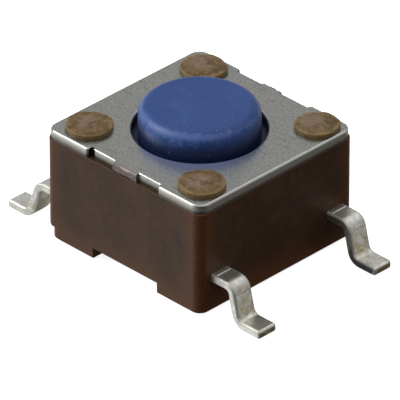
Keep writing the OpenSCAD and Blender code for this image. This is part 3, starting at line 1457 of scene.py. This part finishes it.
@dataclass
class BaseMoulding(Piece):
    """The brown moulding: block, feet, cavity, posts and their staked heads."""

    half: float = 3.0
    corner: float = 0.3
    low: float = 0.12
    feet_top: float = 0.45
    set_back: float = 0.15
    seat: float = COVER_LOW
    cover_top: float = COVER_TOP
    channel: tuple[float, float] = (-1.16, 1.34)
    edge: float = 0.035
    pit: float = 2.0
    floor: float = 1.28
    guide: float = 2.265
    ledge: float = 2.42
    groove: tuple[float, float] = (2.485, 0.52)
    pin: float = 0.35
    pin_top: float = 1.03
    post: float = 0.5
    post_at: float = POST_AT
    pin_lap: float = 0.02
    post_lap: float = 0.05
    heads: Sequence[StakedHead] = ()
    strips: Sequence[ContactStrip] = ()

    def block(self) -> Obj:
        """Models the block on its two feet, with rounded corners and softened edges.

        Returns:
            The block, solid inside.
        """
        half = self.half
        block = box(self.name, (-half, -half, self.feet_top), (half, half, self.seat))
        grip = self.feet_top + OVERSHOOT
        feet = box("feet", (self.set_back - half, -half, self.low), (half, half, grip))
        for part in (block, feet):
            mark_edges(part, lambda a, b: abs(a.z - b.z) > WELD)
            bevel_marked(part, self.corner, 10)
            soften(part, self.edge, 3)
        work_in(block, feet, Fit.FUSE)
        reach = half + OVERSHOOT
        left, right = self.channel
        channel = box("channel", (left, -reach, 0.0), (right, reach, self.feet_top))
        work_in(block, channel, Fit.CUT)
        return block

    def hollow_out(self, block: Obj) -> None:
        """Cuts the dome's pit, the flange's guide, the lugs' grooves and the pin holes.

        Args:
            block: The block.
        """
        deep = self.seat + OVERSHOOT
        long, broad = self.groove
        room = rod("pit", self.pit, (0.0, 0.0, self.floor), deep - self.floor, 96)
        guide = rod("guide", self.guide, (0.0, 0.0, self.ledge), deep - self.ledge, 96)
        work_in(room, guide, Fit.FUSE)
        groove = box("groove", (-long, -broad, self.ledge), (long, broad, deep))
        work_in(room, groove, Fit.FUSE)
        work_in(block, room, Fit.CUT)
        for strip in self.strips:
            pocket = strip.model()
            top = self.pin_top + self.pin_lap
            pin = rod("pin", self.pin, (0.0, strip.y, 0.0), top, 32)
            work_in(pocket, pin, Fit.FUSE)
            work_in(block, pocket, Fit.CUT)
        work_in(block, rod("pin", self.pin, (0.0, 0.0, 0.0), self.pin_top, 32), Fit.CUT)

    def staked_head(self, head: StakedHead) -> Obj:
        """Turns one head and lets its melt run a little out of round.

        Args:
            head: Where it is and how wide.

        Returns:
            The head, flat underneath where it lies on the cover.
        """
        radius = head.across / 2
        flat = radius - head.shoulder
        crown = head.tall - (head.rim + head.shoulder)
        section = [
            (0.0, 0.0),
            (radius - 0.01, 0.0),
            *arc((flat, head.rim), head.shoulder, 0.0, 70.0, 5),
            *((flat * t, head.tall - crown * t * t) for t in (0.9, 0.75, 0.6, 0.4, 0.2)),
            (0.0, head.tall),
        ]
        melt = turned("head", section, 64, (head.x, head.y, self.cover_top))
        for size, strength in ((0.3, head.uneven), (0.1, head.ripple)):
            clouds = bpy.data.textures.new("melt", "CLOUDS")
            clouds.noise_scale = size
            apply_modifier(melt, "DISPLACE", texture=clouds, strength=strength, mid_level=0.5)
        for point in melt.data.vertices:
            point.co.z = max(point.co.z, self.cover_top)
        return melt

    def model(self) -> Obj:
        """Models the whole moulding.

        Returns:
            The moulding.
        """
        block = self.block()
        self.hollow_out(block)
        shank = self.cover_top - self.seat + 2 * self.post_lap
        for head in self.heads:
            at = [math.copysign(self.post_at, v) for v in (head.x, head.y)]
            post = rod("post", self.post, (at[0], at[1], self.seat - self.post_lap), shank, 48)
            work_in(post, self.staked_head(head), Fit.FUSE)
            work_in(block, post, Fit.FUSE)
        return block


def contact_strips() -> list[ContactStrip]:
    """Gives the two strips, each with its leads as they were formed.

    Returns:
        The front strip and the back strip.
    """
    common = {"body": Body.HOUSING, "slot": "tin_plate", "finish": TinPlate()}
    bent = Lead(18.0, 0.02, -0.1)
    return [
        CentreStrip("strip_centre", "contact_strip_centre", y=-STRIP_AT, back=bent, **common),
        RimStrip("strip_rim", "contact_strip_rim", y=STRIP_AT, **common),
    ]


def switch_pieces() -> list[Piece]:
    """Gives every piece of the switch.

    Returns:
        The pieces, in the order in which they are put together.
    """
    strips = contact_strips()
    base = BaseMoulding(
        "base_moulding",
        "base",
        Body.HOUSING,
        "moulding",
        MouldedNylon(),
        heads=(
            StakedHead(-2.11, -2.15, 1.34),
            StakedHead(2.28, 2.27, 1.28),
            StakedHead(2.21, -2.12, 1.33),
            StakedHead(-2.06, 2.22, 1.33, uneven=0.09),
        ),
        strips=strips,
    )
    dome = ContactDome("dome", "contact_dome", Body.HOUSING, "spring_steel", SpringSteel())
    plunger = Plunger("plunger_button", "plunger", Body.PLUNGER, "button", ButtonPlastic())
    cover = Cover(
        "cover_plate",
        "cover",
        Body.HOUSING,
        "cover_steel",
        StampedStainless(),
        notches=(Notch(-1.0, -0.4, 0.5, -1.29), Notch(1.0, -0.42, 0.25)),
    )
    return [*strips, base, dome, plunger, cover]


# ---- Studio ----


@dataclass
class Studio:
    """Camera, lights, pale floor and backdrop. Lengths are in metres here."""

    azimuth: float = 44.933
    elevation: float = 31.992
    distance: float = 0.21572
    aim_side: float = 0.008 * MM
    aim_height: float = 1.194 * MM
    roll: float = -0.019
    lens: float = 705.5
    room: float = 0.3
    light_distance: float = 0.2
    floor_glow: float = 0.88
    backdrop_glow: float = 0.95
    to_right: Point = (0.707, 0.707, 0.0)
    to_camera: Point = (0.707, -0.707, 0.0)
    upwards: Point = (0.0, 0.0, 1.0)
    camera_side: float = 0.15
    left_wall: Section = (
        (-1.0, 0.2),
        (-0.7, 0.95),
        (-0.35, 0.95),
        (-0.05, 0.5),
        (0.3, 0.32),
        (0.52, 0.35),
        (0.68, 0.82),
        (1.0, 0.95),
    )
    right_wall: Section = (
        (-1.0, 0.02),
        (-0.5, 0.08),
        (-0.2, 0.55),
        (0.1, 0.45),
        (0.52, 0.35),
        (0.68, 0.8),
        (1.0, 0.95),
    )
    card_level: float = -0.02  # in millimetres, as the cards' corners are
    cards: Sequence[tuple[str, str, Flat, Flat]] = (
        ("white_card", "#e4e4e0", (-250.0, -2.95), (3.05, 250.0)),
        ("grey_card", "#9a9a96", (3.05, -2.5), (3.4, 9.0)),
        ("dark_card", "#2c2c2a", (3.4, -2.5), (4.7, 9.0)),
    )

    def back(self) -> Vector:
        """The direction from the object to the camera."""
        a, e = math.radians(self.azimuth), math.radians(self.elevation)
        return Vector((math.sin(a) * math.cos(e), -math.cos(a) * math.cos(e), math.sin(e)))

    def add_camera(self) -> None:
        """Adds the camera and makes it the scene's."""
        data = bpy.data.cameras.new("camera")
        data.lens = self.lens
        data.sensor_width = 36.0
        data.clip_start, data.clip_end = 0.001, 10.0
        camera = bpy.data.objects.new("camera", data)
        bpy.context.scene.collection.objects.link(camera)
        a = math.radians(self.azimuth)
        right = Vector((math.cos(a), math.sin(a), 0.0))
        back = self.back()
        turn = Matrix((right, back.cross(right), back)).transposed().to_4x4()
        aim = right * self.aim_side + Vector((0.0, 0.0, self.aim_height))
        camera.matrix_world = (
            Matrix.Translation(aim + back * self.distance)
            @ turn
            @ Matrix.Rotation(math.radians(self.roll), 4, "Z")
        )
        bpy.context.scene.camera = camera

    def add_softbox(self, name: str, toward: Point, size: float, watts: float) -> None:
        """Adds a square area light that faces the object.

        Args:
            name: The light's name.
            toward: Direction from the object to the light.
            size: Side of the light, in metres.
            watts: Its power.
        """
        data = bpy.data.lights.new(name, "AREA")
        data.shape = "SQUARE"
        data.size = size
        data.energy = watts
        light = bpy.data.objects.new(name, data)
        bpy.context.scene.collection.objects.link(light)
        away = Vector(toward).normalized()
        light.location = away * self.light_distance
        light.rotation_mode = "QUATERNION"
        light.rotation_quaternion = away.to_track_quat("Z", "Y")

    def add_sky(self) -> None:
        """Lights the room softly: bright overhead, paler on the left, dark behind the camera."""
        world = bpy.data.worlds.new("soft_room")
        world.use_nodes = True
        tree = world.node_tree
        tree.nodes.clear()
        way = place(tree, "TexCoord").outputs["Generated"]
        height = out(place(tree, "SeparateXYZ", {"Vector": way}), "Z")
        rising = out(place(tree, "MapRange", {"Value": height, "From Min": -1.0}))
        levels = []
        for stops in (self.left_wall, self.right_wall):
            ramp = place(tree, "ValToRGB", {"Fac": rising})
            while len(ramp.color_ramp.elements) < len(stops):
                ramp.color_ramp.elements.new(0.5)
            for element, (at, level) in zip(ramp.color_ramp.elements, stops):
                element.position = (at + 1.0) / 2.0
                element.color = (level, level, level, 1.0)
            levels.append(out(ramp))
        shares = []
        for toward, low, high in (
            (self.to_right, -0.8, 0.8),
            (self.to_camera, 0.0, 0.9),
            (self.upwards, 0.45, 0.05),
        ):
            along = place(
                tree, "VectorMath", {"Vector": way, "Vector_001": toward}, operation="DOT_PRODUCT"
            )
            share = place(
                tree,
                "MapRange",
                {"Value": out(along, "Value"), "From Min": low, "From Max": high},
                interpolation_type="SMOOTHSTEP",
            )
            shares.append(out(share))
        rightward, forward, low = shares
        behind = sums(tree, forward, ("MULTIPLY", low))
        walls = place(
            tree, "Mix", {"Factor": rightward, "A": levels[0], "B": levels[1]}, data_type="RGBA"
        )
        veil = place(
            tree,
            "Mix",
            {"Factor": behind, "A": (1.0,) * 4, "B": (self.camera_side,) * 3 + (1.0,)},
            data_type="RGBA",
        )
        room = place(
            tree,
            "Mix",
            {"Factor": 1.0, "A": out(walls), "B": out(veil)},
            data_type="RGBA",
            blend_type="MULTIPLY",
        )
        glow = place(tree, "Background", {"Color": out(room), "Strength": 1.0})
        place(tree, "OutputWorld", {"Surface": out(glow)})
        bpy.context.scene.world = world

    def add_white(self, obj: Obj, name: str, glow: float) -> None:
        """Gives a stage object its plain pale finish and keeps it out of the reflections.

        Args:
            obj: The stage object.
            name: The finish's name.
            glow: How much it shines by itself.
        """
        material, _, shader, _ = new_material(name)
        shader.inputs["Base Color"].default_value = linear("#f2f1ee")
        shader.inputs["Roughness"].default_value = 0.9
        shader.inputs["Emission Color"].default_value = linear("#ffffff")
        shader.inputs["Emission Strength"].default_value = glow
        obj.data.materials.append(material)
        obj.visible_diffuse = False
        obj.visible_glossy = False
        obj.visible_shadow = False

    def add_floor(self) -> None:
        """Adds the pale floor and the backdrop round it."""
        deselect_all()
        bpy.ops.mesh.primitive_circle_add(
            vertices=64, radius=self.room, fill_type="NGON", location=(0.0, 0.0, -0.01 * MM)
        )
        floor = bpy.context.object
        floor.name = "floor"
        self.add_white(floor, "pale_floor", self.floor_glow)
        deselect_all()
        bpy.ops.mesh.primitive_uv_sphere_add(segments=48, ring_count=24, radius=self.room * 1.02)
        shell = bpy.context.object
        shell.name = "backdrop"
        self.add_white(shell, "pale_backdrop", self.backdrop_glow)

    def add_card(self, name: str, grey: str, low: Flat, high: Flat) -> None:
        """Lays a plain card that the camera doesn't see and that lights the object from below.

        Args:
            name: The card's name.
            grey: Its colour.
            low: Its lower corner in X and Y, in millimetres.
            high: Its upper corner.
        """
        card = box(name, (*low, self.card_level - 0.004), (*high, self.card_level))
        card.scale = (MM, MM, MM)
        fix_place(card)
        material, _, shader, _ = new_material(name)
        shader.inputs["Base Color"].default_value = linear(grey)
        shader.inputs["Roughness"].default_value = 0.9
        card.data.materials.append(material)
        card.visible_camera = False
        card.visible_shadow = False

    def set_up(self) -> None:
        """Adds everything."""
        for card in self.cards:
            self.add_card(*card)
        self.add_camera()
        self.add_sky()
        self.add_softbox("key_left", (-0.62, -0.55, 0.6), 0.12, 0.22)
        self.add_floor()
        bpy.context.scene.view_settings.view_transform = "Standard"


def main() -> None:
    """Builds the scene."""
    logging.basicConfig(level=logging.INFO, format="%(name)s: %(message)s")
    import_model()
    for piece in switch_pieces():
        piece.add()
    Studio().set_up()


if __name__ == "__main__":
    main()
